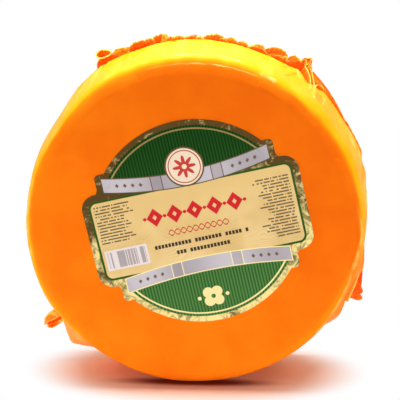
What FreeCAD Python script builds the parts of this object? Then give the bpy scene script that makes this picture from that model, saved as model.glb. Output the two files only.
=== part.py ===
"""Wheel of brined cheese in a tight film, stood on its rim, with a die-cut foil label.

The wheel's axis runs along Y and the labelled face looks along -Y. +Z is up. The origin is
on the small flat spot that the wheel rests on, in the plane of the film's seam, which runs
round the rim near the back. Millimetres.
"""

import FreeCAD, Part
import math
import os

# ---- Cheese wheel ----------------------------------------------------------------------
front_depth = 55.0          # from the seam forward to the labelled face
back_depth = 16.0           # from the seam to the back face
face_diameter = 225.0       # where the labelled face would meet the rim if the edge were sharp
rim_bulge = 4.0             # how far the rim swells from the labelled face to the seam
edge_radius = 12.5          # rounding between either face and the rim
foot_depth = 1.3            # how much of the bulge is pressed flat by the wheel's weight

# ---- Film seam: where the two halves of the bag are welded and drawn in ------------------
seam_thickness = 1.4        # the gathered film, across
seam_height = 1.6           # where it lies nearly flat on the rim
gather_height = 4.2         # over the top of the wheel, where it stands up in ruffles
gather_wave = 1.2           # rise and fall of the ruffled edge
gather_wave_pitch = 14.8    # degrees from one rise to the next
ruffle_sway = 1.6           # how far the ruffles lean to either side
ruffle_pitch = 9.0          # degrees from one ruffle to the next
gather_start = 46.0         # angles in degrees, up from +X towards +Z
gather_end = 130.0
gather_fade = 9.0           # length of its fall at either end, in degrees
seam_root = 3.0             # half width of the film's fold where it leaves the rim
seam_bite = 1.5             # how deep the fold is built into the rim before it is trimmed
seam_clearance = 0.5        # between the seam's two ends and the table
section_step = 2.0          # degrees between two sections of the seam

# The bag has four corners. Each is (angle, rise of the film drawn out towards it).
bag_corners = ((53.0, 5.0), (123.5, 5.0), (226.0, 15.0), (330.0, 9.0))
corner_inset = 4.5          # from the front's rounded edge to the film drawn out at a corner
corner_back_inset = 4.5     # from the back face to where that film comes down behind
# The corners end in crumpled ears. Each is (angle, height, half width in degrees).
ears = ((53.0, 6.5, 3.5), (122.0, 3.5, 4.0), (218.0, 9.0, 4.5), (329.0, 6.0, 4.5))

# ---- Label -------------------------------------------------------------------------------
label_thickness = 0.2
label_tilt = 13.0           # degrees, its right end up
label_right = 2.4           # its centre, from the middle of the face
label_up = 4.6
label_diameter = 140.0
disc_drop = 1.3             # the round part sits a little below the label's centre
panel_width = 147.4
panel_height = 65.0
panel_drop = 1.5
panel_corner = 10.0
ribbon_width = 121.0        # the ends of the two ribbons make square shoulders
ribbon_height = 89.5
ribbon_drop = 0.8
ribbon_corner = 3.0

# ---- Worked out from the sizes above -----------------------------------------------------
face_radius = face_diameter / 2
seam_radius = face_radius + rim_bulge
axis_height = seam_radius - foot_depth
profile_radius = (front_depth ** 2 + rim_bulge ** 2) / (2 * rim_bulge)
corner_root = front_depth - edge_radius - corner_inset
corner_back_root = back_depth - corner_back_inset

along_axis = FreeCAD.Vector(0, 1, 0)
tolerance = 0.001           # for telling one edge of a shape from another
print_tolerance = 0.05      # how closely the printed sizes follow curved faces


def rim_radius(y):
    """Radius of the swelling rim at a distance y from the seam."""
    return seam_radius - profile_radius + math.sqrt(profile_radius ** 2 - y ** 2)


def back_radius(y):
    """Radius at a distance y behind the seam, rounded down towards the back face."""
    into_rounding = max(0.0, y - (back_depth - edge_radius))
    return rim_radius(y) - edge_radius + math.sqrt(edge_radius ** 2 - into_rounding ** 2)


def on_wheel(angle, radius, y):
    """The point at this radius and angle about the wheel's axis."""
    turn = math.radians(angle)
    return FreeCAD.Vector(radius * math.cos(turn), y, axis_height + radius * math.sin(turn))


def angle_between(angle, other):
    """The smaller angle from one direction to another, in degrees."""
    return abs((angle - other + 180) % 360 - 180)


def smooth(share):
    """A soft step from 0 to 1."""
    share = min(1.0, max(0.0, share))
    return share * share * (3 - 2 * share)


# ---- The wheel ---------------------------------------------------------------------------
def is_circle_round_axis(edge):
    """True for the circles where a face meets the rim, and not for the profile's own edges."""
    return isinstance(edge.Curve, Part.Circle) and abs(edge.Curve.Axis.y) > 1 - tolerance


def make_wheel():
    """The wheel, widest at the seam, with rounded edges and a small flat to stand on."""
    front_axis = on_wheel(-90, 0, -front_depth)
    front_edge = on_wheel(-90, face_radius, -front_depth)
    at_seam = on_wheel(-90, seam_radius, 0)
    back_edge = on_wheel(-90, rim_radius(back_depth), back_depth)
    back_axis = on_wheel(-90, 0, back_depth)
    profile = Part.Wire([
        Part.LineSegment(front_axis, front_edge).toShape(),
        Part.Arc(front_edge, at_seam, back_edge).toShape(),
        Part.LineSegment(back_edge, back_axis).toShape(),
        Part.LineSegment(back_axis, front_axis).toShape(),
    ])
    wheel = Part.Face(profile).revolve(on_wheel(0, 0, 0), along_axis, 360)
    face_edges = [edge for edge in wheel.Edges if is_circle_round_axis(edge)]
    wheel = wheel.makeFillet(edge_radius, face_edges)
    width = 2 * seam_radius
    depth = 2 * (front_depth + back_depth)
    table = Part.makeBox(width, depth, width, FreeCAD.Vector(-width / 2, -depth / 2, -width))
    return wheel.cut(table)


# ---- The film seam -----------------------------------------------------------------------
def web_spread(rise):
    """Degrees from a corner of the bag to where its straight web meets the round rim."""
    return math.degrees(math.acos(seam_radius / (seam_radius + rise)))


def drawn_rise(angle):
    """How far the film is drawn out from the rim: straight webs from a corner, tangent to the rim."""
    drawn = 0.0
    for corner, rise in bag_corners:
        short_of_end = web_spread(rise) - angle_between(angle, corner)
        if short_of_end > 0:
            web_radius = seam_radius / math.cos(math.radians(short_of_end))
            drawn = max(drawn, web_radius - seam_radius)
    return drawn


def drawn_share(angle):
    """Share of a corner's full rise that the film has here, for the width of its root."""
    share = 0.0
    for corner, rise in bag_corners:
        share = max(share, 1 - angle_between(angle, corner) / web_spread(rise))
    return smooth(share)


def gathered(angle):
    """1 where the seam stands up in ruffles, 0 where it lies flat."""
    rising = smooth((angle - gather_start) / gather_fade)
    falling = smooth((gather_end - angle) / gather_fade)
    return min(rising, falling)


def fin_height(angle):
    """Height of the welded film above the drawn-out film."""
    wave = math.sin(math.radians(360 * angle / gather_wave_pitch))
    height = seam_height + gathered(angle) * (gather_height - seam_height + gather_wave * wave)
    for middle, ear_height, half_width in ears:
        height += ear_height * smooth(1 - angle_between(angle, middle) / (2 * half_width))
    return height


def seam_section(angle):
    """Section of the seam: a wide root on the rim, narrowing to a thin fin that sways."""
    share = drawn_share(angle)
    front_root = seam_root + share * (corner_root - seam_root)
    back_root = seam_root + share * (corner_back_root - seam_root)
    neck_radius = seam_radius + drawn_rise(angle) + seam_thickness / 2
    tip_radius = neck_radius + fin_height(angle)
    half = seam_thickness / 2
    sway = gathered(angle) * ruffle_sway * math.sin(math.radians(360 * angle / ruffle_pitch))
    corners = [
        on_wheel(angle, rim_radius(front_root) - seam_bite, -front_root),
        on_wheel(angle, neck_radius, -half),
        on_wheel(angle, tip_radius, sway - half),
        on_wheel(angle, tip_radius, sway + half),
        on_wheel(angle, neck_radius, half),
        on_wheel(angle, back_radius(back_root) - seam_bite, back_root),
    ]
    return Part.makePolygon(corners + corners[:1])


def make_seam(wheel):
    """The seam's sections joined round the rim, trimmed to sit on the wheel."""
    end_radius = seam_radius + seam_thickness / 2 + seam_height + seam_clearance
    gap = math.degrees(math.acos(axis_height / end_radius))
    first = -90 + gap
    span = 360 - 2 * gap
    count = round(span / section_step)
    sections = []
    for number in range(count + 1):
        sections.append(seam_section(first + span * number / count))
    return Part.makeLoft(sections, True, True).cut(wheel)


# ---- The label ---------------------------------------------------------------------------
def plate(width, height, drop, corner):
    """A flat rectangle with round corners, centred on the label and lowered by drop."""
    left = -width / 2
    bottom = -height / 2 - drop
    block = Part.makeBox(width, label_thickness, height, FreeCAD.Vector(left, -label_thickness, bottom))
    through = [edge for edge in block.Edges if abs(edge.Length - label_thickness) < tolerance]
    return block.makeFillet(corner, through)


def make_label():
    """The round label with its wide middle panel and the ribbons' square ends, laid on the face."""
    disc = Part.makeCylinder(label_diameter / 2, label_thickness,
                             FreeCAD.Vector(0, 0, -disc_drop), FreeCAD.Vector(0, -1, 0))
    panel = plate(panel_width, panel_height, panel_drop, panel_corner)
    ribbons = plate(ribbon_width, ribbon_height, ribbon_drop, ribbon_corner)
    label = disc.fuse([panel, ribbons]).removeSplitter()
    label.rotate(FreeCAD.Vector(0, 0, 0), along_axis, -label_tilt)
    label.translate(FreeCAD.Vector(label_right, -front_depth, axis_height + label_up))
    return label


# ---- Write one STEP for each piece ---------------------------------------------------------
def single_solid(name, shape):
    """The one solid of a finished piece, checked and reported."""
    solids = shape.Solids
    if len(solids) != 1 or not solids[0].isValid():
        raise ValueError(f"{name} should be one valid solid, but has {len(solids)}")
    points, _ = solids[0].tessellate(print_tolerance)
    reach = [f"{axis} {min(values):.1f}..{max(values):.1f}" for axis, values in zip("XYZ", zip(*points))]
    print(f"{name}: {solids[0].Volume / 1000:.1f} cm3, {len(solids[0].Faces)} faces,", *reach)
    return solids[0]


cheese_wheel = make_wheel()
pieces = {
    "cheese_wheel": cheese_wheel,
    "film_seam": make_seam(cheese_wheel),
    "label": make_label(),
}
os.makedirs("parts", exist_ok=True)
for name, shape in pieces.items():
    single_solid(name, shape).exportStep(f"parts/{name}.step")
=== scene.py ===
# %% [markdown]
# # A wheel of brined cheese in tight film
# The real thing is a heavy round cheese sealed in a flat bag. Warm air shrinks the bag until
# it lies tight on the cheese, so the two welded halves meet in a ruffled seam round the
# middle of the rim, and the bag's four corners are left over as crumpled ears. A foil label
# is stuck on one face. The notebook makes those pieces one by one around a fixed frame.
# %% Load the fixed frame
import math

import bpy
import numpy as np
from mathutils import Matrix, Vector


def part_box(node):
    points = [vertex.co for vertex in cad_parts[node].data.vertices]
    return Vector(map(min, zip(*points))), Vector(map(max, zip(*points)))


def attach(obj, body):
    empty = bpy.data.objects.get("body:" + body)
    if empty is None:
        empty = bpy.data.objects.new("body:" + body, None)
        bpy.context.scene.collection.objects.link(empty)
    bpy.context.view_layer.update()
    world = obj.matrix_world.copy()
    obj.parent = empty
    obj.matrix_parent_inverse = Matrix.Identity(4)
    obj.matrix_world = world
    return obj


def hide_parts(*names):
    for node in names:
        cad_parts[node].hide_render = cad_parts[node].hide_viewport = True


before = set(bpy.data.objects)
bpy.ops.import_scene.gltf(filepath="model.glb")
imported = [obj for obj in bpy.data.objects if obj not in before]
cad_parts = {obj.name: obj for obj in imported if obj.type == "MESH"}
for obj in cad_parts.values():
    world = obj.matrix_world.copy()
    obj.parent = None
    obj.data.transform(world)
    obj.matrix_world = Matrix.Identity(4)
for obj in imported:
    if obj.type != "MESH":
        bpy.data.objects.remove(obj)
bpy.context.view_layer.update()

print("pieces in the frame:", sorted(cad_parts))

# %% [markdown]
# ## Sizes
# The frame is in metres, but a cheese reads better in millimetres, so lengths are written
# as a number times MM. The big ones are measured from the frame, so the looks follow the
# construction if it is made in another size.
# %% Sizes taken from the frame
MM = 0.001
wheel_low, wheel_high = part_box("cheese_wheel")
label_low, label_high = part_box("label")

front_depth = -wheel_low.y   # from the seam to the labelled face
back_depth = wheel_high.y    # from the seam to the back
seam_radius = (wheel_high.x - wheel_low.x) / 2
axis_height = wheel_high.z - seam_radius
rim_bulge = 4 * MM           # the rim swells this much from the labelled face to the seam
edge_radius = 12.5 * MM      # rounding between face and rim
profile_radius = (front_depth ** 2 + rim_bulge ** 2) / (2 * rim_bulge)
print(f"wheel {2 * seam_radius / MM:.0f} mm across and {(front_depth + back_depth) / MM:.0f} mm thick,"
      f" axis {axis_height / MM:.1f} mm up, label {(label_high.x - label_low.x) / MM:.0f} mm wide")

# %% [markdown]
# ## Camera first
# The view is fixed before anything is modelled, because how much detail is worth making
# depends on how large a piece is in the view. A long lens keeps the round face round.
# %% Camera
view_turn = 3.09             # degrees round from straight in front, towards +X
view_lift = 15.35            # degrees above level
view_distance = 1.143
lens_length, sensor_width = 155.2, 36.0
aim = np.array([4.35 * MM, -front_depth, axis_height + 18.4 * MM])
turn, lift = math.radians(view_turn), math.radians(view_lift)
to_viewer = np.array([math.sin(turn) * math.cos(lift), -math.cos(turn) * math.cos(lift), math.sin(lift)])
camera_data = bpy.data.cameras.new("camera")
camera_data.lens, camera_data.sensor_width = lens_length, sensor_width
camera_data.clip_start, camera_data.clip_end = 0.05, 30
camera = bpy.data.objects.new("camera", camera_data)
bpy.context.scene.collection.objects.link(camera)
camera.location = aim + view_distance * to_viewer
camera.rotation_euler = (math.pi / 2 - lift, 0, turn)
bpy.context.scene.camera = camera
print("camera at", [round(v, 3) for v in camera.location])

# %% [markdown]
# ## Shader maths as Python
# A procedural finish is a formula over position. Written as Python expressions it can be
# read: a small class wraps a node's output, and + - * / on it add Math nodes. A second
# class makes all the nodes of a finish, or of the world, through one method.
# %% A value in a material, and a finish that makes nodes
def ink(red, green, blue):
    """A colour from the usual 0 to 255 values, as the linear light that nodes use."""
    shares = np.array([red, green, blue]) / 255
    linear = np.where(shares <= 0.04045, shares / 12.92, ((shares + 0.055) / 1.055) ** 2.4)
    return (*linear.tolist(), 1.0)


def arithmetic(operation, flipped=False):
    """A method that adds one Math node. flipped puts the other number first."""
    def method(self, *others):
        terms = (self, *others)
        return self.finish.node("ShaderNodeMath", {"operation": operation},
                                dict(enumerate(terms[::-1] if flipped else terms)))
    return method


class Value:
    """One number that varies over a surface. Arithmetic on it adds Math nodes."""

    def __init__(self, finish, socket):
        self.finish, self.socket = finish, socket

    __add__ = __radd__ = arithmetic("ADD")
    __mul__ = __rmul__ = arithmetic("MULTIPLY")
    __abs__ = arithmetic("ABSOLUTE")
    __sub__, __rsub__ = arithmetic("SUBTRACT"), arithmetic("SUBTRACT", flipped=True)
    __truediv__, __pow__ = arithmetic("DIVIDE"), arithmetic("POWER")
    least, most, whole = arithmetic("MINIMUM"), arithmetic("MAXIMUM"), arithmetic("FLOOR")
    root, sine, cosine, turn_from = (arithmetic(name) for name in ("SQRT", "SINE", "COSINE", "ARCTAN2"))

    def rise(self, low, high):
        """A soft step: 0 at low and before, 1 at high and after. low may be above high."""
        if low > high:
            return 1 - self.rise(high, low)
        return self.finish.node("ShaderNodeMapRange", {"interpolation_type": "SMOOTHSTEP"},
                                {"Value": self, "From Min": low, "From Max": high})


class Finish:
    """A material, or the world, whose nodes are all made by one method."""

    def __init__(self, name, owners=bpy.data.materials):
        self.owner = owners.new(name)
        self.owner.use_nodes = True
        self.tree = self.owner.node_tree
        self.tree.nodes.clear()

    def fill(self, socket, value):
        """Links a value to a socket or sets it. Three numbers are a colour from 0 to 255."""
        if isinstance(value, Value):
            self.tree.links.new(value.socket, socket)
        else:
            is_ink = socket.type == "RGBA" and len(value) == 3
            socket.default_value = ink(*value) if is_ink else value

    def node(self, kind, settings=None, inputs=None, output=0):
        """Adds a node, sets it up, fills its sockets, and gives one of its outputs."""
        made = self.tree.nodes.new(kind)
        for name, value in (settings or {}).items():
            setattr(made, name, value)
        for name, value in (inputs or {}).items():
            self.fill(made.inputs[name], value)
        return Value(self, made.outputs[output]) if made.outputs else None

    def position(self):
        """Object coordinates."""
        return self.node("ShaderNodeTexCoord", output="Object")

    def axes(self, vector=None):
        """The three numbers of a position."""
        vector = vector or self.position()
        return [self.node("ShaderNodeSeparateXYZ", {}, {0: vector}, output=axis) for axis in "XYZ"]

    def paint(self):
        """The three shares stored on a piece."""
        return self.axes(self.node("ShaderNodeAttribute", {"attribute_name": "paint"}))

    def placed(self, location=(0, 0, 0), rotation=(0, 0, 0), scale=(1, 1, 1)):
        """Object position after a Mapping node, which centres or turns a pattern."""
        return self.node("ShaderNodeMapping", {"vector_type": "TEXTURE"},
                         {"Vector": self.position(), "Location": location,
                          "Rotation": rotation, "Scale": scale})

    def clouds(self, size, detail=2.0, roughness=0.5, distortion=0.0, where=None):
        """Soft noise whose patches are about this many metres across, from 0 to 1."""
        return self.node("ShaderNodeTexNoise", {}, {
            "Vector": where or self.position(), "Scale": 1 / size, "Detail": detail,
            "Roughness": roughness, "Distortion": distortion})

    def blend(self, share, first, second):
        """A colour between two colours. A Mix node has its colours on sockets 6 and 7."""
        return self.node("ShaderNodeMix", {"data_type": "RGBA"}, {0: share, 6: first, 7: second}, output=2)

    def layers(self, colour, *laid):
        """A colour with others laid over it in turn, each given as (share, colour)."""
        for share, other in laid:
            colour = self.blend(share, colour, other)
        return colour

    def bump(self, height, distance, strength=1.0):
        """A Bump node: height 0 to 1 is worth this distance in metres."""
        return self.node("ShaderNodeBump", {}, {"Height": height, "Distance": distance,
                                                "Strength": strength})

    def seen(self):
        """1 for what the camera, gloss and clear things see, 0 for light that bounces."""
        camera, gloss, clear = (self.node("ShaderNodeLightPath", output=f"Is {kind} Ray")
                                for kind in ("Camera", "Glossy", "Transmission"))
        return (camera + gloss + clear).least(1)

    def surface(self, **inputs):
        """The Principled shader and the output. Names use _ for spaces."""
        named = {name.replace("_", " "): value for name, value in inputs.items()}
        shader = self.node("ShaderNodeBsdfPrincipled", {}, named)
        self.node("ShaderNodeOutputMaterial", {}, {"Surface": shader})
        return self.owner


# %% [markdown]
# ## Light and floor
# A long lamp straight overhead makes the rim glow and lets the shadow fall right under the
# wheel. A low lamp on each side and a wide one in front stand in for the white walls of a
# small light tent, and a faint world fills the rest. What is seen directly, in gloss or through
# clear film is plain white.
# %% Lights and world
def area_lamp(name, watts, width, depth, place, height_aimed_at, in_gloss=False):
    """A rectangular white lamp at a place, facing a point on the line up from the foot."""
    lamp = bpy.data.lights.new(name, "AREA")
    lamp.shape = "RECTANGLE"
    lamp.size, lamp.size_y, lamp.energy = width, depth, watts
    made = bpy.data.objects.new(name, lamp)
    made.location = place
    facing = Vector((0, 0, height_aimed_at)) - Vector(place)
    made.rotation_euler = facing.to_track_quat("-Z", "Y").to_euler()
    made.visible_glossy = in_gloss
    bpy.context.scene.collection.objects.link(made)


area_lamp("overhead strip", 32, 1.5, 0.14, (0, 0.02, 1.5), 0.1, in_gloss=True)
for side in (-1, 1):
    area_lamp(f"side {side}", 3.4, 0.5, 0.2, (side * 1.2, -0.25, 0.14), 0.1)
area_lamp("front fill", 11.8, 1.4, 0.2, (0.0, -1.7, 0.13), 0.12)

room = Finish("white room", bpy.data.worlds)
room_light = room.node("ShaderNodeBackground", {}, {"Color": (1.0, 0.985, 0.96, 1), "Strength": 0.13})
room_walls = room.node("ShaderNodeBackground", {}, {"Color": (1, 1, 1, 1), "Strength": 1.0})
room_shader = room.node("ShaderNodeMixShader", {}, {0: room.seen(), 1: room_light, 2: room_walls})
room.node("ShaderNodeOutputWorld", {}, {"Surface": room_shader})
bpy.context.scene.world = room.owner
bpy.context.scene.view_settings.view_transform = "Standard"
print("lamps:", [lamp.name for lamp in bpy.data.lights])

# %% [markdown]
# ## A floor that stays white far away
# The lamp hangs close above the wheel, so the floor gets darker with distance. What the
# camera and the gloss see turns to plain white away from the foot, and keeps the real
# shadow near it, with a pale orange glow painted into its outer part. The cheese glows
# orange into its own shadow, and that is painted: the paper is painted warm there, and a
# painted contact shadow makes it deeper right at the foot, where little light gets in.
# %% The floor and its finish
bpy.ops.mesh.primitive_plane_add(size=8)
floor = bpy.context.object
floor.name = "floor"

paper = Finish("pale floor")
floor_x, floor_y, _ = paper.axes()


def oval_reach(middle_y, half_x, half_y):
    """Distance on the floor as a share of an oval in millimetres: 1 on its outline."""
    return ((floor_x / (half_x * MM)) ** 2 + ((floor_y - middle_y * MM) / (half_y * MM)) ** 2).root()


shadow_reach = oval_reach(-20, 120, 70)
foot_reach = oval_reach(-43, 58, 8)
paper_white = paper.blend(paper.clouds(40 * MM, detail=3), (238, 238, 238), (244, 243, 242))
# Warm near the wheel: painted orange bounce light in the shadow.
paper_with_painted_shadow = paper.blend(shadow_reach.rise(0.45, 1.0), (255, 226, 204), paper_white)
# Dark red-brown right at the foot: a painted contact shadow.
paper_with_painted_shadow = paper.blend(foot_reach.rise(1.3, 0.4), paper_with_painted_shadow, (150, 66, 34))
near = paper.node("ShaderNodeBsdfPrincipled", {}, {
    "Base Color": paper_with_painted_shadow, "Roughness": 0.85, "Specular IOR Level": 0.05})
# Pale orange towards the foot: a painted glow in the shadow's outer part.
white_with_painted_glow = paper.blend(shadow_reach.rise(0.62, 1.02), (255, 184, 150), (255, 255, 255))
far = paper.node("ShaderNodeEmission", {}, {"Color": white_with_painted_glow, "Strength": 1.0})
floor_shader = paper.node("ShaderNodeMixShader", {}, {
    0: shadow_reach.rise(0.4, 1.04) * paper.seen(), 1: near, 2: far})
paper.node("ShaderNodeOutputMaterial", {}, {"Surface": floor_shader})
floor.data.materials.append(paper.owner)
print("floor", list(floor.dimensions))

# %% [markdown]
# ## Soft random shapes
# Film is never perfectly even. A sum of a few sine waves in random directions makes a smooth
# uneven height at any point, and a fixed seed gives the same cheese every time.
# %% Waves and steps
def waves(points, size, seed, count=14):
    """Smooth noise of about -1 to 1: sines in random directions, wavelengths near size."""
    chance = np.random.default_rng(seed)
    total = np.zeros(points.shape[:-1])
    for _ in range(count):
        direction = chance.normal(size=points.shape[-1])
        direction /= np.linalg.norm(direction)
        wavelength = size * chance.uniform(0.6, 1.7)
        total += np.sin(points @ direction * (2 * np.pi / wavelength) + chance.uniform(0, 2 * np.pi))
    return total / math.sqrt(count)


def waves_along(x, size, seed):
    """The same noise along one number."""
    return waves(np.asarray(x, float)[..., None], size, seed)


def patchy(x, size, seed, middle, swing, most=1):
    """Noise along one number as a share about a middle one, kept from 0 to most."""
    return np.clip(middle + swing * waves_along(x, size, seed), 0, most)


def soft_step(x, low, high):
    """0 below low, 1 above high and smooth between."""
    share = np.clip((x - low) / (high - low), 0, 1)
    return share * share * (3 - 2 * share)


def hump(x, width):
    """A round hump: 1 at x = 0, down to 0.6 at one width and nearly 0 at three."""
    return np.exp(-(x / width) ** 2 / 2)


def apart(angle, other):
    """Signed angle from other to angle, -180 to 180 degrees."""
    return (angle - other + 180) % 360 - 180


def humps(angle, places):
    """Sum of humps round the wheel, each given as (angle, width in degrees, height)."""
    return sum(height * hump(apart(angle, middle), width) for middle, width, height in places)


def soft_most(a, b, width):
    """The larger of two heights, with the corner between them rounded over this width."""
    overlap = np.clip(1 - np.abs(a - b) / width, 0, 1)
    return np.maximum(a, b) + width * overlap ** 2 / 4


# %% [markdown]
# ## From a grid of points to a closed piece
# Every piece below is a grid of points worked out from two parameters. Film is thin, so a
# film piece is the grid moved half a thickness to each side, with a narrow strip round the
# border that joins the two sides. A part is three things: its points, its faces and its
# paint, three shares for each point that the finish reads as a colour.
# %% Grids, closed sheets and mesh objects
def grid(rows, columns, first=0):
    """Shares v from 0 to 1 down the rows, and s from first to 1 along the columns."""
    return np.linspace(0, 1, rows)[:, None], np.linspace(first, 1, columns)[None]


def grid_faces(rows, columns, wrap):
    """Quads between neighbouring points of a grid. wrap joins the last column to the first."""
    last = columns if wrap else columns - 1
    row, column = np.meshgrid(np.arange(rows - 1), np.arange(last), indexing="ij")
    here = row * columns + column
    beside = row * columns + (column + 1) % columns
    return np.stack([here, beside, beside + columns, here + columns], -1).reshape(-1, 4)


def fan(centre, ring):
    """Triangles from one point to a closed ring of points."""
    return np.stack([np.full(len(ring), centre), np.roll(ring, -1), ring], -1)


def outward(points, faces):
    """The faces turned so that the closed mesh has a positive volume."""
    volume = 0.0
    for group in faces:
        corners = points[group]
        for k in range(1, group.shape[1] - 1):
            volume += (corners[:, 0] * np.cross(corners[:, k], corners[:, k + 1])).sum()
    return faces if volume > 0 else [group[:, ::-1] for group in faces]


def sheet(points, thickness, *paint):
    """A closed film: a grid moved half the thickness to each side, with its border joined."""
    rows, columns = points.shape[:2]
    normal = np.cross(np.gradient(points, axis=0), np.gradient(points, axis=1))
    normal /= np.linalg.norm(normal, axis=-1, keepdims=True) + 1e-12
    half = np.broadcast_to(thickness, (rows, columns))[..., None] / 2
    both = np.concatenate([(points + normal * half).reshape(-1, 3),
                           (points - normal * half).reshape(-1, 3)])
    count = rows * columns
    index = np.arange(count).reshape(rows, columns)
    border = np.concatenate([index[0, :-1], index[:-1, -1], index[-1, :0:-1], index[:0:-1, 0]])
    following = np.roll(border, -1)
    side = grid_faces(rows, columns, wrap=False)
    strip = np.stack([following, border, border + count, following + count], -1)
    shares = np.stack(np.broadcast_arrays(*paint, points[..., 0])[:3], -1).reshape(-1, 3)
    return both, outward(both, [side, side[:, ::-1] + count, strip]), np.concatenate([shares, shares])


def capped(points, first, last, paint=None):
    """A closed part: a grid of rings, with one more point before them and one after."""
    rows, columns = points.shape[:2]
    ring, count = np.arange(columns), rows * columns
    faces = [grid_faces(rows, columns, wrap=True)[:, ::-1], fan(count, ring)[:, ::-1],
             fan(count + 1, ring + count - columns)]
    return np.concatenate([points.reshape(-1, 3), [first, last]]), faces, paint


def joined(parts):
    """Several closed shapes as one part, with each shape's faces numbered to match."""
    points, faces, paint = zip(*parts)
    starts = np.cumsum([0] + [len(group) for group in points])
    moved = [group + start for start, groups in zip(starts, faces) for group in groups]
    return np.concatenate(points), moved, np.concatenate(paint)


def piece_from(name, part, finish, sharp=180):
    """A finished mesh object at the origin that rides on the body, from a part."""
    points, faces, paint = part
    mesh = bpy.data.meshes.new(name)
    mesh.from_pydata(points, [], [face for group in outward(points, faces) for face in group.tolist()])
    mesh.polygons.foreach_set("use_smooth", np.ones(len(mesh.polygons), bool))
    if paint is not None:
        opaque = np.ones((len(points), 1))
        layer = mesh.attributes.new("paint", "FLOAT_COLOR", "POINT")
        layer.data.foreach_set("color", np.concatenate([np.clip(paint, 0, 1), opaque], 1).ravel())
    if sharp < 180:
        mesh.set_sharp_from_angle(angle=math.radians(sharp))
    mesh.materials.append(finish)
    made = bpy.data.objects.new(name, mesh)
    bpy.context.scene.collection.objects.link(made)
    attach(made, "root")
    print(f"{name}: {sum(len(face.vertices) - 2 for face in mesh.polygons)} triangles")
    return made


# %% [markdown]
# ## The shape under the film
# The cheese is a thick disc with rounded edges, and its rim swells a little towards the
# seam. A point of the surface is found by an angle round the axis and a place across the
# rim, measured along the film from the seam: minus is towards the labelled face. `tilt` is
# how far the surface has turned there, in degrees: 0 on the front face, 90 on the rim at
# the seam, 180 on the back.
# %% The wheel's profile
face_rows, rim_rows = 12, 50
front_edge_rows, back_edge_rows = 48, 14


def barrel(y):
    """Radius of the swelling rim at a distance y from the seam: a shallow arc."""
    return seam_radius - profile_radius + np.sqrt(profile_radius ** 2 - y ** 2)


def face_to_rim(depth, edge_rows):
    """From near a face's middle to the rim: radius, depth from the seam, tilt, place along.

    A straight face, then an arc of edge_radius that touches both the face and the barrel.
    """
    centre_y = depth - edge_radius
    inner = profile_radius - edge_radius
    centre_r = seam_radius - profile_radius + math.sqrt(inner ** 2 - centre_y ** 2)
    full_turn = math.acos(centre_y / inner)
    turn = np.arange(1, edge_rows + 1) / edge_rows * full_turn
    flat = centre_r * (np.arange(1, face_rows + 1) / face_rows) ** 0.7
    radius = np.concatenate([flat, centre_r + edge_radius * np.sin(turn)])
    y = np.concatenate([np.full(face_rows, depth), centre_y + edge_radius * np.cos(turn)])
    tilt = np.degrees(np.concatenate([np.zeros(face_rows), turn]))
    along = y[-1] + np.concatenate([edge_radius * full_turn + centre_r - flat,
                                    edge_radius * (full_turn - turn)])
    return np.stack([radius, y, tilt, along])


front = face_to_rim(front_depth, front_edge_rows) * [[1], [-1], [1], [-1]]
back = face_to_rim(back_depth, back_edge_rows)[:, ::-1]
back[2] = 180 - back[2]
rim_y = np.linspace(front[1, -1], back[1, 0], rim_rows + 1)[1:-1]
rim = np.stack([barrel(rim_y), rim_y, 90 + np.degrees(np.arcsin(rim_y / profile_radius)), rim_y])
profile_r, profile_y, profile_tilt, profile_across = np.concatenate([front, rim, back], axis=1)
print(f"{len(profile_r)} rows from face to face; the rim is {(back[1, 0] - front[1, -1]) / MM:.0f} mm"
      " wide between its rounded edges")

# %% [markdown]
# ## Where the film leaves the cheese
# A flat bag shrunk on a round cheese has four corners to spare. They pull the film away from
# the rim in tents: seen along the axis it runs straight from the rim to the corner, and seen
# from the side it slopes down to both edges. At a few places the film has pressed the soft
# cheese in, and beside those the cheese stands out a little.
# %% Tents at the corners of the bag
# (angle, how blunt the ridge is in degrees, then in mm: rise of the film above the rim, how
# far the ridge leans towards the labelled face, where its slope meets the rim in front)
tents = ((53, 3, 3.2, 0, 27), (123, 3.5, 3.2, 0, 27), (228.2, 1, 18, 12, 42), (322.5, 3, 11.4, 12, 42),
         (339.5, 2, 8.4, 7, 36), (356.5, 2.5, 2.6, 4, 30), (13, 3, 3.2, 4, 32))
tent_back, tent_back_r = 11.5 * MM, 114 * MM   # where the slope behind meets the rim
# (angle, width in degrees, rise in mm) of the soft places; below 0 is pressed in
soft_places = ((147, 6.5, -2.3), (168, 9, -0.5), (3, 4, 0.8), (22, 5, 1.2), (346, 7, 1), (207, 8, 1.2),
               (42.5, 4.5, 1.5))


def tent_radius(angle, y):
    """Radius of the drawn film: straight towards the corner, sloping down to both edges."""
    highest = np.zeros(np.broadcast(angle, y).shape)
    for corner, blunt, *sizes in tents:
        rise, lean, front = np.array(sizes) * MM
        spread = math.degrees(math.acos(seam_radius / (seam_radius + rise)))
        inside = np.clip(spread - np.hypot(apart(angle, corner), blunt), 0, None)
        ridge = seam_radius / np.cos(np.radians(inside))
        behind_ridge = y + lean * inside / spread
        front_slope = (rise + seam_radius - barrel(front)) / (front - lean)
        back_slope = (rise + seam_radius - tent_back_r) / (tent_back + lean)
        drop = np.where(behind_ridge < 0, -behind_ridge * front_slope, behind_ridge * back_slope)
        highest = np.maximum(highest, np.where(inside > 0, ridge - drop, 0))
    return highest


def drawn(angle, radius, y):
    """Radius of the film where it lies on a surface of this radius or is drawn off it."""
    return soft_most(radius, tent_radius(angle, y), 1.4 * MM)
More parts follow.
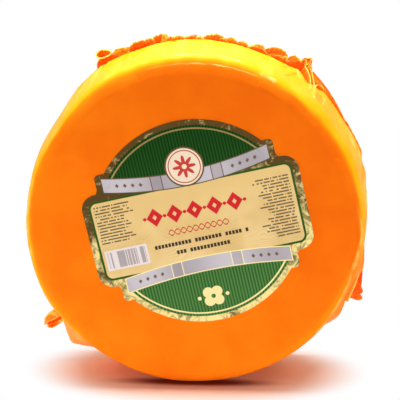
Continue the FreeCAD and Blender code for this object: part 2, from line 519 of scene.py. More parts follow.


# %% [markdown]
# ## Folds
# The folds that shrinking leaves are lines: each runs from one place to another, stands up
# or sinks in, and is either painted pale, as a highlight, or doubled to a deeper colour. The
# painted glint along the top of the rounded edge wanders, as does the line where the
# painted yellow light meets orange.
# %% Strokes on the film
# (angle, across in mm) of both ends, half width in mm, height in mm, shade: pale (a painted
# highlight) above 0, deep below
strokes = (
    # the top right corner: a doubled triangle, fine folds and a red wedge
    ((51.2, -1), (50.1, -11), 1.5, -0.6, -0.75), ((53, -1), (51, -7), 1.7, -0.4, -0.7),
    ((54.4, -7), (58.2, -30), 0.9, -0.5, -0.35), ((57.2, 1), (59.6, -12), 0.8, -0.4, -0.3),
    ((46.6, -6), (44.8, -2), 1.3, -0.8, -1), ((44.8, -2), (37, 0), 0.8, -0.3, -0.6),
    ((44.6, -20), (44.4, -33), 2, -0.4, -0.3), ((42.8, -17), (43.2, -35), 0.6, 0.5, 0.5),
    ((47.4, -9), (47, -37), 0.8, 0.8, 0.6), ((49, -12), (49.2, -26), 0.7, 0.7, 0.7),
    ((55.6, 2), (53, -18), 0.6, 0.5, 0.5),
    # the top left corner
    ((133, -6), (134, -22), 1.9, -0.5, -0.4), ((130.6, -4), (133.2, -30), 0.9, 0.5, 0.35),
    ((124.2, -2), (127.5, -26), 1, 0.5, 0.3), ((121.8, 0), (123.6, -12), 0.7, -0.3, -0.3),
    ((98.4, 2), (97.2, -9), 0.5, -0.3, -0.8), ((137, -12), (140, -44), 0.8, 0.4, 0.3),
    ((137, -12), (140, -44), 0.8, 0, -0.1),
    # painted highlights: pale patches above the rounded edge
    ((95, -43.6), (88.5, -44), 1.2, 0.1, 0.6), ((82.6, -44.2), (74.5, -44.8), 0.8, 0.1, 0.8),
    ((66.4, -50.6), (61.8, -50.4), 0.9, 0.3, 0.7),
    # the right side: a long arc and soft pale patches
    ((8.5, -55.5), (3, -52.8), 0.6, 0.4, 0.35), ((3, -52.8), (-2.5, -49.5), 0.6, 0.5, 0.45),
    ((-4, -50.5), (-15, -52.6), 1.1, 0.5, 0.5), ((-15, -52.6), (-42, -50.3), 0.8, 0.5, 0.3),
    ((28, -6), (26, -24), 2.4, 0.3, 0.5), ((20, 5), (17.5, -30), 2.6, 0.3, 0.3),
    ((11, -12), (9.5, -40), 1.6, 0.3, 0.3), ((7.2, -14), (6.4, -32), 1.3, 0.6, 0.9),
    ((15.6, -3), (13.8, -40), 1.6, -0.5, -0.25), ((3.5, -20), (1, -46), 2, -0.4, -0.3),
    # the left side, where little of the rim shows, and the stretched tent below it
    ((191, -47), (166, -47), 1.9, 0.3, 0.6), ((214, -46), (203, -47), 1.2, 0.4, 0.3),
    ((221, -34), (227, -20), 6, 0, 0.2),
)


def distance_to_line(angle, across, start, end):
    """Distance on the film, in metres, from each place to the straight line start to end."""
    x = seam_radius * np.radians(apart(angle, start[0]))
    y = across - start[1] * MM
    to_x = seam_radius * math.radians(apart(end[0], start[0]))
    to_y = (end[1] - start[1]) * MM
    share = np.clip((x * to_x + y * to_y) / (to_x ** 2 + to_y ** 2), 0, 1)
    return np.hypot(x - share * to_x, y - share * to_y)


def folds(angle, across):
    """Height of all strokes together, their pale share, which is painted highlight, and their deep share.
    """
    waver = 0.5 * MM * waves_along(across / MM, 9, 21) + 0.35 * MM * waves_along(angle, 2.2, 22)
    height, pale, deep = np.zeros((3, *np.broadcast(angle, across).shape))
    place = np.stack(np.broadcast_arrays(seam_radius * np.radians(angle), 1.6 * across), -1)
    broken = np.clip(0.75 + 0.45 * waves(place, 12 * MM, 23), 0, 1.2)
    for start, end, width, rise, shade in strokes:
        shape = hump(distance_to_line(angle, across, start, end) + waver, width * MM)
        height += rise * MM * shape
        pale = np.maximum(pale, shade * shape * broken)
        deep = np.maximum(deep, -shade * shape)
    return height, np.clip(pale, 0, 1), np.clip(deep, 0, 1)


# %% The wandering lines of the rounded edge
def painted_glint_line(angle, tilt):
    """A painted glint: the thin highlight line along the top of the rounded edge, 0 to 1."""
    where = 41 + 1.3 * waves_along(angle, 6.5, 31) + 0.5 * waves_along(angle, 2.4, 32)
    along_top = soft_step(angle, 65, 69) * soft_step(angle, 109, 105)
    strength = np.clip(0.6 + 0.4 * waves_along(angle, 7, 33), 0.1, 1) * (0.12 + 0.72 * hump(angle - 82, 9))
    return hump(tilt - where, 1.1) * along_top * strength


# (angle, width, change) of the tilt at which the orange of the face has half turned to the
# rim's yellow, which is painted light
half_yellow = ((120, 9, 5), (45, 9, -4), (92, 16, 4), (0, 9, 5), (-35, 22, -14), (146, 8, -3),
               (225, 30, -10))


def painted_rim_light_share(angle, tilt):
    """How far the front has turned from face orange to rim yellow, painted lamp light, 0 to 1."""
    middle = 50 + humps(angle, half_yellow) + 1.6 * waves_along(angle, 7, 34)
    sideways = soft_step(np.abs(apart(angle, 88)), 25, 60)
    width = 62 - 16 * sideways
    front = soft_step(tilt, middle - width / 2, middle + width / 2)
    back = soft_step(tilt, 140, 118)
    below = soft_step(np.abs(apart(angle, -72)), 74, 56)
    low_left = soft_step(np.abs(apart(angle, 214)), 26, 10)
    return front * back * (1 - 0.68 * np.maximum(below, 0.7 * low_left) * soft_step(tilt, 20, 45))


# %% [markdown]
# ## The tight film
# The skin is one closed surface. Each point of the profile is moved outwards along its own
# normal by shallow dents and by the folds, and the shares go with it as paint.
# %% Build the skin
def dents(points):
    """Shallow unevenness of the soft cheese and its film, in metres."""
    return 0.30 * MM * waves(points, 75 * MM, 41) + 0.09 * MM * waves(points, 24 * MM, 42)


def around(angle, radius, y):
    """Points at an angle in degrees, a radius from the wheel's axis and a place along it."""
    turn, radius, y = np.broadcast_arrays(np.radians(angle), radius, y)
    return np.stack([radius * np.cos(turn), y, axis_height + radius * np.sin(turn)], -1)


def column_angles(count):
    """Angles round the wheel, three times as dense near the crumpled corners."""
    fine = np.linspace(0, 360, 7201)
    density = 1 + humps(fine, ((50, 7, 2.2), (128, 9, 0.8), (5, 9, 0.8), (92, 20, 0.4)))
    total = np.concatenate([[0], np.cumsum(density[1:])])
    return np.interp(np.arange(count) / count * total[-1], total, fine)


skin_columns = 660
angle = column_angles(skin_columns)[None]
tilt, across = profile_tilt[:, None], profile_across[:, None]
lean = np.radians(tilt)
facing = around(angle, np.sin(lean), -np.cos(lean)) - (0, 0, axis_height)
flank = humps(angle, soft_places) * MM * soft_step(tilt, 30, 80) * soft_step(tilt, 150, 100)
flat_tilt, fold_tilt = 8, 20      # nothing is drawn off the flat faces, and no fold lies on them
off_faces = (tilt > flat_tilt) & (tilt < 180 - flat_tilt)
skin_r = profile_r[:, None] + flank
skin_r = np.where(off_faces, drawn(angle, skin_r, profile_y[:, None]), skin_r)
skin = around(angle, skin_r, profile_y[:, None])
fold_height, pale, deep = folds(angle, across)
fold_height = np.where(tilt < fold_tilt, 0, fold_height)
painted_glint = painted_glint_line(angle, tilt)
raised = dents(skin) + fold_height + 0.12 * MM * painted_glint
skin = skin + facing * raised[..., None]
skin[..., 2] = np.maximum(skin[..., 2], 0)
pale = np.maximum(pale, painted_glint)
skin_paint = np.stack(np.broadcast_arrays(painted_rim_light_share(angle, tilt), pale, deep), -1).reshape(-1, 3)

poles = np.array([[0, -front_depth, axis_height], [0, back_depth, axis_height]])
poles[:, 1] += dents(poles) * (-1, 1)
skin_part = capped(skin, *poles, np.concatenate([skin_paint, np.zeros((2, 3))]))
print("skin:", skin.shape[:2], "points, folds up to", round(fold_height.max() / MM, 1), "mm")

# %% [markdown]
# ## The film's finish
# The film is clear over orange cheese. Round the rim it is painted yellower, most of all on
# top: painted light, the orange film lit bright by the lamp overhead. Only on top has it a
# faint clear coat. The face is painted lighter towards the lower left, painted light too, and
# pale folds are painted highlights. Low down, where the film is drawn off the cheese, light
# comes through it, so it is painted paler and glows faintly. A soft mottle and small ripples
# keep it from looking painted.
# %% Tight film finish
film = Finish("tight film")
# The first share is how far painted light from the lamp overhead turns the film yellow.
yellow, painted_highlight_mask, deep_mask = film.paint()
right, _, up = film.axes()
mottle = film.clouds(26 * MM, detail=3)
mottled, softer = mottle.rise(0.3, 0.7), mottle.rise(0.25, 0.75)
streaks = film.clouds(1, detail=3, where=film.placed(scale=(9 * MM, 60 * MM, 9 * MM))).rise(0.3, 0.7)
patches = film.clouds(70 * MM, detail=1).rise(0.35, 0.7)
low_left = (right + up).rise(axis_height + 150 * MM, axis_height - 150 * MM)
on_top = up.rise(axis_height + 68 * MM, axis_height + 128 * MM)
on_left = right.rise(0, -40 * MM)
off_axis = (right ** 2 + (up - axis_height) ** 2).root()
drawn_off = (off_axis.rise(seam_radius + 0.4 * MM, seam_radius + 3 * MM)
             * up.rise(axis_height - 5 * MM, axis_height - 30 * MM))

# The face orange is painted lighter towards the lower left: painted light, with random patches.
cheese_orange = film.blend(low_left * 0.75 + patches * 0.25,
                           film.blend(mottled, (234, 101, 12), (241, 109, 14)),
                           film.blend(mottled, (249, 117, 14), (254, 128, 17)))
# The rim's yellow is painted light from the lamp overhead, yellower still on top.
painted_rim_light = film.blend(on_top, film.blend(streaks, (255, 167, 16), (255, 182, 30)),
                        film.blend(streaks, (255, 206, 24), (255, 228, 70)))
film_colour = film.layers(
    cheese_orange,
    # Face orange through amber to the rim's yellow: painted light on the rounded edge.
    (yellow.rise(0.0, 0.4), film.blend(softer, (254, 130, 8), (254, 138, 12))),
    (yellow.rise(0.3, 0.7), film.blend(softer, (254, 164, 16), (254, 176, 22))),
    (yellow.rise(0.6, 1.0), painted_rim_light),
    (deep_mask, (255, 96, 4)),
    # Painted highlights on the folds and the rounded edge, paler on top.
    (painted_highlight_mask, film.blend(on_top, (255, 222, 118), (255, 240, 150))),
    (drawn_off, film.blend(on_left, (254, 130, 14),
                           film.blend(streaks, (252, 132, 44), (254, 156, 76)))))
glow = film.blend(drawn_off, (0, 0, 0), film.blend(on_left, (80, 32, 0), (176, 84, 30)))
skin_finish = film.surface(
    Base_Color=film_colour, Roughness=mottle.rise(0, 1) * 0.1 + 0.36, Specular_IOR_Level=0.015,
    Specular_Tint=(255, 176, 60), Coat_Weight=yellow.rise(0.85, 1.0) * on_top * 0.12,
    Coat_Roughness=0.12, Emission_Color=glow, Emission_Strength=1.0,
    Normal=film.bump(film.clouds(7 * MM, detail=2), 0.25 * MM, 0.5))
wrapped = piece_from("wrapped_wheel", skin_part, skin_finish)
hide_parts("cheese_wheel")

# %% [markdown]
# ## Gathered film
# Where the two halves of the bag are welded the film is doubled, so its colour is deeper:
# red-orange in the folds, where painted shade deepens it further, and nearly clear yellow
# where it is thin. The free edges are painted pale as highlights, and the film glows faintly
# in its own colour, painted light coming through it. One finish does for the seam and all
# the crumples. Its three shares of paint are how near the free edge is, how thin and clear
# the film is there, and how deep it is folded and shaded.
# %% Gathered film finish
gather = Finish("gathered film")
edge_highlight_mask, clear_mask, doubled_and_shaded_mask = gather.paint()
lumps = gather.clouds(4 * MM, detail=3, distortion=0.6)
# Red-orange folds are doubled film with painted shade; the pale free edge is a painted highlight.
gather_colour = gather.layers(
    gather.blend(lumps.rise(0.3, 0.7), (252, 86, 0), (255, 118, 8)), (doubled_and_shaded_mask, (255, 66, 0)),
    (clear_mask, (255, 184, 58)), (edge_highlight_mask * lumps.rise(0.2, 0.5), (255, 232, 104)))
# A faint glow in the film's own colour: painted light coming through it.
gather_finish = gather.surface(
    Base_Color=gather_colour, Roughness=lumps * 0.2 + 0.3, Specular_IOR_Level=0.12,
    Coat_Weight=0.04, Coat_Roughness=0.2, Emission_Color=gather_colour, Emission_Strength=0.14,
    Normal=gather.bump(lumps, 0.3 * MM, 0.4))


def film_piece(name, *parts):
    """A piece of gathered film, made of closed sheets."""
    return piece_from(name, joined(parts), gather_finish)


# %% [markdown]
# ## The seam's band
# The seam starts as a low strip on the ridge of the rim. Beside two of the corners its free
# edge is drawn out into a web, straight from the corner down to the rim.
# %% Band and webs
first_end, last_end = -76.0, 256.0   # degrees; open below, where the wheel stands
# (angle at the corner, angle where the web has come down, rise above the rim, blunt side)
webs = ((50.6, 26.0, 6.8 * MM, 1.6), (-31.0, -12.5, 15.6 * MM, 0.9))


def skin_radius(angle, y):
    """Radius of the finished film near the seam, with its folds."""
    on_cheese = barrel(y) + humps(angle, soft_places) * MM
    return drawn(angle, on_cheese, y) + dents(around(angle, seam_radius, y)) + folds(angle, y)[0]


def web_rise(angle):
    """How far the webs hold the free edge above the rim: straight lines down from a corner."""
    rise = np.zeros(np.shape(angle))
    for corner, end, most, blunt in webs:
        share = apart(angle, end) / apart(corner, end)
        beyond = np.clip(np.abs(apart(angle, corner)) / blunt, 0, 1)
        rise = np.maximum(rise, most * np.where(share > 1, 1 - beyond, np.clip(share, 0, 1)))
    return rise


band_rows, band_columns = 9, 1300
band_angle = np.linspace(first_end, last_end, band_columns)[None]
v = np.linspace(0, 1, band_rows)[:, None]
top = soft_step(band_angle, 6, 24) * soft_step(band_angle, 129, 120)
root = skin_radius(band_angle, 0.0) - 1.0 * MM
low_edge = (0.7 + 1.4 * top + 0.3 * waves_along(band_angle, 7, 51) * top) * MM
web = web_rise(band_angle)
band_height = np.maximum(root + low_edge, np.where(web > 0, seam_radius + web, 0)) - root
in_web = soft_step(band_height, 3.2 * MM, 4.5 * MM)
drift = (0.7 * waves_along(band_angle, 25, 56) + 0.3 * v * waves_along(band_angle, 4, 54)) * MM
streak = soft_step(v, 0.1, 0.25) * soft_step(v, 0.85, 0.6) * in_web
# The band's free edge is painted pale: a painted highlight.
edge_highlight = hump(band_height * (1 - v), 0.45 * MM) * patchy(band_angle, 3, 57, 0.35, 0.4)
red_corner = soft_step(band_angle, -17, -23)
clear = (0.55 * streak + 0.15 * in_web) * (1 - red_corner) + (1 - top) * (1 - in_web)
band = sheet(around(band_angle, root + band_height * v, drift), (1.0 - 0.4 * v) * MM,
             edge_highlight * (1 - in_web) * top, clear, in_web * (0.8 * red_corner + 0.1 * top * (1 - streak)))
print("band: at most", round(band_height.max() / MM, 1), "mm high")

# %% [markdown]
# ## Ruffles
# Over the top the film had too much length, so it gathered into ruffles: loops of film that
# stand one behind the other. Each is an arch between two angles, deep in colour inside and
# deeper still at its root, which is painted shade, with a thin free edge painted pale as a
# highlight, and pleats that run from its root to its edge.
# %% Ruffles along the top and knots at the corners
# (from angle, to angle, height in mm, skew, overhang in degrees, forward in mm, clear, deep)
ruffles = (
    (125.6, 116.8, 4.7, 0.9, 0, 1.5, 0, 1),
    (119.9, 111.6, 5.2, 0.75, 0, 0.6, 0.5, 0.3), (113.3, 104.4, 5.4, 0.72, 0, 1.8, 0, 1),
    (109.2, 103.4, 4.9, 1, 0, 1, 0.1, 0.9), (105.7, 99.5, 5.8, 1, 0, 0.4, 0, 0.8),
    (102.6, 99.4, 5.2, 1.4, 0.2, 1.6, 0.9, 0), (100.9, 93.6, 3, 0.9, 0, 0.6, 0.3, 0.1),
    (94.6, 89.2, 2.9, 1.1, 0, 1, 0.15, 0.3), (91.6, 87.9, 2, 1, 0, 1.6, 0.7, 0),
    (89.6, 80.8, 4.4, 1.5, -0.3, 0.5, 0.1, 0.35), (86, 79.6, 2.6, 1.2, 0, 1.2, 0.1, 0.6),
    (81.5, 76.8, 3.9, 1.1, 0, 0.6, 0.3, 0.1), (77.8, 73, 3.3, 1.2, -0.2, 1, 0.3, 0.2),
    (74.4, 67.5, 5.2, 2.2, -0.4, 0.4, 0.4, 0.2), (73, 66, 3.4, 1, 0, 1.4, 0, 0.6),
    (68.6, 59.6, 7.7, 1.15, -0.9, 0.3, 0.15, 0.45), (66.2, 58.6, 4.6, 1.2, -0.4, 1.3, 0.85, 0),
    (65, 56.8, 3.4, 1, 0, 1.9, 0, 0.7), (60, 54.6, 7.8, 0.9, 0, 0.4, 0.35, 0.3),
    (59, 51.6, 7, 1.2, 0, 1.6, 0, 0.9), (57.4, 51.8, 11.2, 1.8, 0, 0.2, 0.05, 0.9),
    (53.4, 50.4, 8.4, 1.2, 0.3, 2.6, 0.55, 0), (52.9, 50.6, 6.6, 1, 0, 3.3, 0.1, 0.6),
    # the knot at the lower right corner
    (-28.2, -32, 16.2, 1, 0, 1.6, 0.1, 0.5), (-25.6, -30.4, 13, 1.2, 0, 2.8, 0, 0.7),
)


def ruffle(start, end, height, skew, overhang, forward, clear, deep, seed):
    """A loop of film: angle from start to end by s, radius from root to free edge by v.

    The free edge is an arch, sin(pi s^skew) to the power 0.5, made lumpy by waves. The loop
    bulges forwards half way up, and pleats are waves in s that grow with v. The edge of a
    tall loop shows less pale.
    """
    length = seam_radius * math.radians(abs(end - start))
    v, s = grid(13, max(30, round(length / (0.3 * MM))))
    run = s * length / MM
    arch = np.sqrt(np.sin(np.pi * np.clip(s, 0, 1) ** skew).clip(0, 1))
    lumpy = 0.22 * waves_along(run, 6.0, seed) + 0.08 * waves_along(run, 2.2, seed + 1)
    rise = arch * (height + lumpy) * MM
    angle = start + (end - start) * s + overhang * v ** 2 * arch
    pleats = 0.20 * waves_along(run, 3.2, seed + 2) * (0.3 + 0.7 * v)
    y = (-forward * (1 - 0.6 * v) - 0.9 * np.sin(np.pi * v) * arch + pleats) * MM
    root = skin_radius(angle, -forward * MM) - 0.8 * MM
    points = around(angle, root + (rise + 0.8 * MM) * v, y)
    place = np.stack(np.broadcast_arrays(run, v * rise / MM), -1)
    streak = np.clip(0.5 + 0.5 * waves(place, 2.6, seed + 3), 0, 1)
    unrolled = np.clip(13 - height, 0.2, 1)
    # The pale free edge is a painted highlight, and the deeper colour at the root is painted shade where
    # the loop meets the rim.
    edge = hump(rise * (1 - v), 0.38 * MM) * patchy(run, 3, seed + 4, 0.75, 0.4, unrolled)
    painted_root_shade = hump(v * rise, 0.8 * MM)
    return sheet(points, (0.9 - 0.35 * v) * MM, edge, clear * streak * (1 - 0.6 * painted_root_shade),
                 np.maximum(deep * (1 - 0.45 * streak), 0.6 * painted_root_shade))


seam = film_piece("gathered_seam", band,
                  *(ruffle(*one, seed=200 + 5 * number) for number, one in enumerate(ruffles)))
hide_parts("film_seam")

# %% [markdown]
# ## Creases that run up to a corner
# From each knot a few tight creases run down onto the rim. A crease is a low wall of film
# whose top edge is a smooth line through a few places, and its foot is in the skin.
# %% Creases
# top edges as (angle, rise above the rim in mm, y in mm), then the clear and deep shares
creases = (
    (((53.5, 8.7, -2), (53.4, 6.6, -3), (51.8, 5.2, -5), (49.1, 0.9, -10)), 0.2, 0.2),
    (((52.0, 7.4, -3), (50.9, 6.6, -4), (48.9, 3.4, -7), (47.2, 0.8, -12)), 0.2, 0.3),
    (((47.2, 0.4, -9), (46.8, 2.6, -5), (45.8, 3.8, -3), (44.0, 3.2, -1.5)), 0.3, 0.9),
    (((-17.4, 4.6, -4), (-24.3, 5.8, -9), (-28.3, 6.5, -10.5), (-32.0, 7.6, -12)), 0.4, 0.0),
)


def crease(path, clear, deep):
    """A low wall of film: along a smooth line through the places by s, up by v."""
    v, s = grid(8, 70)
    knots = np.linspace(0, 1, len(path))
    angle, above, y = (np.polyval(np.polyfit(knots, places, len(path) - 1), s) for places in zip(*path))
    root = skin_radius(angle, y * MM) - 0.6 * MM
    height = np.maximum(seam_radius + above * MM - root, 0.7 * MM)
    bulge = 0.25 * np.sin(np.pi * v) * waves_along(s, 0.3, 91)
    # The pale top edge is a painted highlight, and the deep share darkens the wall towards its foot:
    # painted shade where it meets the skin.
    return sheet(around(angle, root + height * v, (y + bulge) * MM), (1.0 - 0.3 * v) * MM,
                 hump(height * (1 - v), 0.35 * MM), clear * v, deep * (1 - v))


film_piece("corner_creases", *(crease(*one) for one in creases))

# %% [markdown]
# ## Ears of pleats
# The very corner of the bag is left over as an ear: a fan of pleats, narrow where it leaves
# the rim, zigzag across, with an uneven end. The spike at the top right is one too.
# %% Ears
def standing(angle, rise, roll, outwards, sideways, forward):
    """Points about a place above the rim, in mm along two ways turned by roll, and along y."""
    place, way = math.radians(angle), math.radians(roll)
    radius = seam_radius / MM + rise
    x = radius * math.cos(place) + outwards * math.cos(way) - sideways * math.sin(way)
    z = radius * math.sin(place) + outwards * math.sin(way) + sideways * math.cos(way)
    return np.stack(np.broadcast_arrays(x * MM, forward * MM, z * MM + axis_height), -1)


def ear(angle, y, rise, width, length, tip_width, lean, pleats, depth, curl, ragged, seed):
    """A fan of film: outwards by v, along the rim by s from -1 to 1, pleats in y.

    The pleats are a rounded zigzag in s that deepens with v. The end curls towards the
    front by v squared, and its outline is uneven by the ragged share of the length.
    """
    v, s = grid(27, 57, first=-1)
    half = (width + (tip_width - width) * v) / 2
    uneven = 1 + ragged * waves_along(s, 1.1, seed) + 0.4 * ragged * waves_along(s, 0.4, seed + 1)
    zigzag = np.arcsin(0.96 * np.sin(np.pi * pleats * s + 1.5 * waves_along(v + s, 1.5, seed + 2))) / 1.3
    points = standing(angle, rise, angle, -1.5 + length * v * uneven - 0.12 * length * v * s ** 4,
                      half * s * (1 + 0.12 * waves_along(v, 0.8, seed + 3)) + lean * v ** 1.5,
                      y + depth * v ** 0.6 * zigzag - curl * v ** 2)
    # Pale on the forward crests of the pleats and round the border is painted highlight; deep in the
    # hollows between them is painted shade.
    ridge = np.clip(-zigzag, 0, 1) ** 2
    border = np.maximum(hump((1 - v) * length, 0.5), hump((1 - np.abs(s)) * half, 0.5))
    clear = 0.8 * soft_step(s, 0.1, -0.9) * soft_step(v, 0.15, 0.5)
    clear = clear * patchy(v + s, 0.5, seed + 4, 0.6, 0.4)
    deep = np.clip(zigzag, 0, 1) * 0.8 + soft_step(s, 0.1, 0.9) * 0.4
    return sheet(points, (0.8 - 0.3 * v) * MM, border * 0.6 + 0.5 * ridge ** 3, clear, deep)


film_piece("corner_bottom_left", ear(219.7, -3.0, 9.0, 9.5, 16.2, 10.0, -0.4, 1.2, 2.2, 1.5, 0.05, 71))
film_piece("corner_top_right", ear(53.1, -1.0, 9.0, 1.9, 6.4, 0.6, 0.9, 0.5, 0.3, 0.4, 0.03, 61),
           ear(54.6, -1.5, 8.0, 4.2, 3.6, 3.0, 0.2, 1.0, 0.7, 0.6, 0.10, 66))

# %% [markdown]
# ## A pinched pouch
# At the top left corner the film closed on itself like a little bag, open to the front,
# with a pale lip. It is a cup with an oval opening: the wall goes straight back and then
# closes to a point.
# %% Pouch
def pouch(angle, rise, y_front, half_long, half_short, roll, depth, phase):
    """A cup: an oval ring by s, times a closing factor that ends in a point at the back, by w."""
    w, s = grid(20, 73)
    a = 2 * np.pi * s
    closing = np.sqrt(1 - (0.9995 * w) ** 3) * (1 + 0.08 * (1 - w))
    across = closing * (1 + 0.07 * np.sin(2 * a + 1 + phase) + 0.05 * np.sin(3 * a + 2 * phase + 2 * w))
    points = standing(angle, rise, roll, half_long * across * np.cos(a), half_short * across * np.sin(a),
                      y_front + depth * w + 0.6 * np.sin(a + phase) * (1 - w))
    # The pale lip is a painted highlight, and the cup deepens a little towards its back: painted shade
    # inside it.
    return sheet(points, (0.8 - 0.7 * soft_step(w, 0.8, 1)) * MM, hump(w, 0.09),
                 0.5 * soft_step(w, 0.8, 0.1), 0.2 * w)


film_piece("corner_top_left", pouch(121.3, 7.6, -2.0, 4.5, 2.6, 14, 3, 1.0))

# %% [markdown]
# ## The label
# The label is foil paper, cut to one outline: a round disc, a wide panel and the square ends
# of two banners. All three contain the middle of the disc, so the outline is a distance from
# there in every direction, the farthest of the three shapes.
# %% Label outline
label_tilt = math.radians(13)
label_middle = np.array([2.4 * MM, -front_depth, axis_height + 4.6 * MM])
# in millimetres: how far below the label's middle each shape lies, and its size
disc_drop, disc_radius, field_radius, ring_radius = 1.3, 70, 66.2, 64.0
panel_shape = (1.5, 73.7, 32.5, 10)      # drop, half width, half height, corner radius
ribbon_shape = (0.8, 60.5, 44.75, 3)


def plate_reach(direction, drop, half_width, half_height, corner):
    """Distance from the disc's middle to a rounded rectangle's outline in each direction."""
    half_height = half_height + np.where(np.sin(direction) > 0, disc_drop - drop, drop - disc_drop)
    x, y = np.abs(np.cos(direction)), np.abs(np.sin(direction))
    straight = np.minimum(half_width / np.maximum(x, 1e-9), half_height / np.maximum(y, 1e-9))
    corner_x, corner_y = half_width - corner, half_height - corner
    ahead = x * corner_x + y * corner_y
    rounded = ahead + np.sqrt(np.clip(ahead ** 2 - corner_x ** 2 - corner_y ** 2 + corner ** 2, 0, None))
    in_corner = (straight * x > corner_x) & (straight * y > corner_y)
    return np.where(in_corner, rounded, straight)


label_columns, label_rows = 1260, 30
direction = np.linspace(0, 2 * np.pi, label_columns, endpoint=False)[None]
reach = np.maximum(plate_reach(direction, *panel_shape), plate_reach(direction, *ribbon_shape))
reach = np.maximum(reach, disc_radius)
print(f"label outline: {reach.min():.0f} to {reach.max():.1f} mm from the disc's middle")

# %% Label mesh
share = (np.arange(1, label_rows + 1) / label_rows)[:, None] ** 0.75
label_thickness = 0.35 * MM


def on_face(u, v):
    """Points on the wheel's front for label places u to its right and v up, in millimetres."""
    x = label_middle[0] + (u * math.cos(label_tilt) - v * math.sin(label_tilt)) * MM
    z = label_middle[2] + (u * math.sin(label_tilt) + v * math.cos(label_tilt)) * MM
    place = np.stack([x, np.full(x.shape, -front_depth), z], -1)
    place[..., 1] -= dents(place)
    return place


top_side = on_face(reach * share * np.cos(direction), reach * share * np.sin(direction) - disc_drop)
rim_row = top_side[-1:] + (0, 0.05 * MM, 0)
near_edge = hump(reach * (1 - share), 5)
crinkle = (0.04 + 0.10 * near_edge) * waves(top_side, 7 * MM, 81) + 0.05 * waves(top_side, 30 * MM, 82)
top_side[..., 1] -= label_thickness + crinkle * MM
label_part = capped(np.concatenate([top_side, rim_row]), top_side[0].mean(0), rim_row[0].mean(0))

# %% [markdown]
# ## The label's print
# The print is worked out in the label's own millimetres: u runs along the panel and v up it.
# Shapes are distances, below 0 inside, and a colour is laid on where its distance is below
# 0. The motifs are plain ones: pinstripes, lozenges, a rosette in an oval, waves and dashes.
# %% Print maths
label_print = Finish("label print")
u, _, v = label_print.axes(label_print.placed(tuple(label_middle), (0, -label_tilt, 0), (MM, MM, MM)))


def disc(u, v, middle_u, middle_v, radius):
    """Distance to a circle."""
    return ((u - middle_u) ** 2 + (v - middle_v) ** 2).root() - radius


def block(u, v, middle_u, middle_v, half_u, half_v, corner=0.0):
    """Distance to a rectangle with round corners."""
    over_u = (abs(u - middle_u) - (half_u - corner)).most(0)
    over_v = (abs(v - middle_v) - (half_v - corner)).most(0)
    return (over_u ** 2 + over_v ** 2).root() - corner


def lozenge(u, v, middle_v, half_u, half_v):
    """Distance to an upright diamond at u = 0, exact enough for a small one."""
    size = abs(u) / half_u + abs(v - middle_v) / half_v
    return (size - 1) * (half_u * half_v / math.hypot(half_u, half_v))


def within(distance, soft=0.12):
    """1 inside and 0 outside, over a soft edge in millimetres."""
    return distance.rise(soft, -soft)


def line(distance, half_width, soft=0.12):
    """1 along an outline and 0 beside it."""
    return within(abs(distance) - half_width, soft)


def repeated(x, pitch):
    """The same length over and over: from minus half a pitch to half a pitch."""
    return label_print.node("ShaderNodeMath", {"operation": "WRAP"}, {0: x, 1: pitch / 2, 2: -pitch / 2})


# %% Fields of colour
stripe_pitch = 2.05
panel_drop, *panel_size = panel_shape
panel_edge = block(u, v, 0, -panel_drop, *panel_size)

crackle = label_print.clouds(6.5 * MM, detail=4, roughness=0.62, distortion=1.6)
broad = label_print.clouds(16 * MM, detail=1)
# The foil's light and dark is a painted reflection: darker at the top, paler towards the bottom, broken by
# crinkle patches.
painted_reflection_from_below = v.rise(62, -46)
foil_light = painted_reflection_from_below * 0.85 + (broad - 0.5) * 1.1 + (crackle - 0.5) * 2.4 - 0.22
foil = label_print.blend(foil_light.rise(0.0, 0.95), (92, 68, 32), (246, 226, 148))

stripe = (u * (2 * math.pi / stripe_pitch)).sine().rise(-0.6, 0.6)
# The green is darker towards the top and lighter towards the bottom: painted shade, as on the foil.
green = label_print.blend(v.rise(58, -58), label_print.blend(stripe, (5, 44, 5), (24, 72, 15)),
                          label_print.blend(stripe, (44, 92, 38), (82, 128, 66)))
field = within(disc(u, v, 0, -disc_drop, field_radius))
ring = line(disc(u, v, 0, -disc_drop, ring_radius), 0.55)
# The ring's gold is paler towards the bottom: the same painted reflection as the foil's.
ring_gold = label_print.blend(painted_reflection_from_below, (150, 128, 74), (250, 230, 160))
colour = label_print.layers(foil, (field, green), (ring, ring_gold))
foil_share = 1 - field

# %% Panel and banners
panel_margin = 5.2
banner_top = v - (29.5 + 7.0 * (u / 58) ** 2)
banner_bottom = v - (-30.5 - 5.0 * (u / 58) ** 2)
between_banners = within(banner_top.most(0 - banner_bottom), 0.2)
panel = within(panel_edge) * between_banners.most(abs(u).rise(57.5, 58.5))
wash = label_print.clouds(22 * MM, detail=2)
contour = ((v * 0.55 + label_print.clouds(26 * MM, detail=2) * 16) * 2.6).sine()
sketch = line(contour, 0.16) * v.rise(3, -8) * label_print.clouds(12 * MM).rise(0.42, 0.6)
cream = label_print.layers(
    label_print.blend(wash.rise(0.3, 0.7), (219, 185, 121), (231, 201, 140)),
    (v.rise(-10, 28), (226, 192, 126)), (sketch * 0.5, (150, 124, 78)))
panel_line = line(panel_edge + panel_margin, 0.75)
panel_inside = within(panel_edge + panel_margin)

banner_edge = (abs(banner_top) - 5).least(abs(banner_bottom) - 5).most(abs(u) - 56.5)
banner = within(banner_edge)
ribbon_shade = ((u * 0.105).sine() * 0.5 + 0.5) * 0.8 + wash * 0.2
beads = lozenge(repeated(abs(u), 5.2), banner_top, 0, 1.3, 1.5)
beads_low = lozenge(repeated(abs(u), 5.2), banner_bottom, 0, 1.3, 1.5)
bead_row = within(beads.least(beads_low)) * line(abs(u) - 39.0, 10.3)
from_fold = abs(abs(u) - 20.5) - 3.6
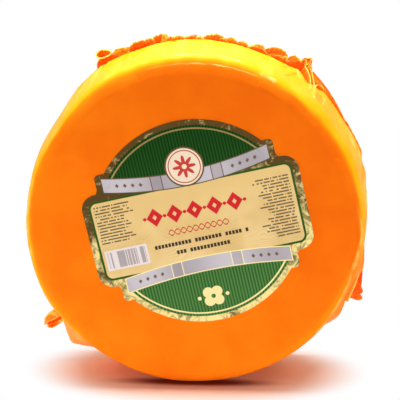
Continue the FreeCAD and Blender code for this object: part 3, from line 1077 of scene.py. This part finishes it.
# Dark gold on the top banner and pale gold on the bottom one: the foil's painted reflection.
gold_line = label_print.blend(v.rise(10, -10), (104, 82, 56), (246, 230, 162))
colour = label_print.layers(
    colour, (panel, foil), (panel * panel_inside, cream), (panel * panel_line, (44, 84, 24)),
    (banner, label_print.blend(ribbon_shade, (166, 158, 164), (200, 194, 200))),
    (bead_row, (112, 92, 66)), (within(from_fold) * banner * 0.3, (120, 106, 104)),
    (line(banner_edge, 0.35).most(line(from_fold, 0.3) * banner), gold_line))
foil_share = foil_share.most(panel) * (1 - panel * panel_inside.most(panel_line)) * (1 - banner)

# %% Medallion, chain of lozenges and waves
medallion_up, chain_up, chain_pitch = 37.6, 7.6, 13.6
cream_white = (236, 216, 190)
oval = ((u / 13.2) ** 2 + ((v - medallion_up) / 13.6) ** 2).root() * 13.4 - 13.4
petal_waves = ((v - medallion_up).turn_from(u) * 8).cosine()
petals = disc(u, v, 0, medallion_up, 5.6) - 2.2 * petal_waves
along_chain = repeated(u, chain_pitch)
big = lozenge(along_chain, v, chain_up, 5.6, 6.4)
hollow = lozenge(along_chain, v, chain_up, 1.5, 1.9)
small = disc(repeated(u + chain_pitch / 2, chain_pitch), v, 0, chain_up, 1.15)
chain = within(big.most(0 - hollow).least(small)) * line(u, 35.6)
wave = 1.9 * (u * (2 * math.pi / 8.2)).sine()
two_waves = abs(v + 5.0 - wave).least(abs(v + 5.0 + wave)) - 0.42
colour = label_print.layers(
    colour, (within(oval), (104, 78, 44)), (within(oval + 1.1), cream_white),
    (line(oval + 2.6, 0.35), (176, 66, 50)), (within(petals), (198, 62, 54)),
    (within(disc(u, v, 0, medallion_up, 1.7)), cream_white),
    (chain, (204, 38, 42)), (within(two_waves) * line(u, 20.6), (196, 60, 52)))
foil_share = foil_share * (1 - within(oval))

# %% Rows of dashes, bars and the motif below
def cells(x, row, size):
    """A random number for each little cell of this size along a row."""
    spot = label_print.node("ShaderNodeCombineXYZ", {}, {"X": (x / size).whole(), "Y": row})
    return label_print.node("ShaderNodeTexWhiteNoise", {"noise_dimensions": "3D"}, {"Vector": spot})


def dashes(low_u, high_u, low_v, high_v, from_right=False, pitch=2.1, thickness=0.95, size=0.8):
    """Ragged rows of short dashes in a rectangle, in place of small text."""
    row = (v / pitch).whole()
    in_row = line(repeated(v - pitch / 2, pitch), thickness / 2, 0.1)
    length = (cells(row * 7.3, row, 1.0) * 0.4 + 0.6) * (high_u - low_u)
    along = (high_u - u) if from_right else (u - low_u)
    in_block = line(v - (low_v + high_v) / 2, (high_v - low_v) / 2) * within(0 - along)
    return in_row * within(along - length) * in_block * cells(u, row, size).rise(0.16, 0.2)


def bold_dashes(middle, half_length, size=2.3):
    """One row of larger dashes at a height."""
    parts = line(v - middle, 1.3) * line(u, half_length) * cells(u, middle, size).rise(0.14, 0.18)
    return parts * line(repeated(u - size / 2, size), size * 0.38, 0.15)


dark = (62, 48, 38)
small_text = dashes(-66, -40, -4.2, 23.1).most(dashes(41, 65.5, -23.1, 18.9, from_right=True))
bar_place, motif_u, motif_v = (-51.5, -15.6), -1.0, -54.0
bars = cells(u, 3.0, 0.52).rise(0.45, 0.5) * within(block(u, v, *bar_place, 12.8, 5.6))
motif_hole = disc(u, v, motif_u, motif_v, 1.5)
leaves = disc(abs(u - motif_u), abs(v - motif_v), 3.0, 3.0, 3.7).most(0 - motif_hole)
motif = within(leaves.least(disc(abs(u - motif_u), v, 9.6, motif_v, 1.3)))
colour = label_print.layers(
    colour, (small_text * 0.85, dark), (bold_dashes(-13.2, 32).most(bold_dashes(-19.2, 18.5)), dark),
    (within(block(u, v, *bar_place, 14.5, 7.0, 0.6)), (226, 214, 212)), (bars, (52, 42, 56)),
    (motif, (248, 226, 158)))
foil_share = foil_share.most(ring * field).most(motif * 0.5)

# %% The finished label
relief = crackle * foil_share + label_print.clouds(2.2 * MM) * 0.15
label_finish = label_print.surface(
    Base_Color=colour, Metallic=foil_share * 0.55, Specular_IOR_Level=0.08,
    Roughness=0.42 - foil_share * 0.1 + crackle * 0.1, Normal=label_print.bump(relief, 0.35 * MM, 0.7))
label = piece_from("foil_label", label_part, label_finish, sharp=50)
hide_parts("label")
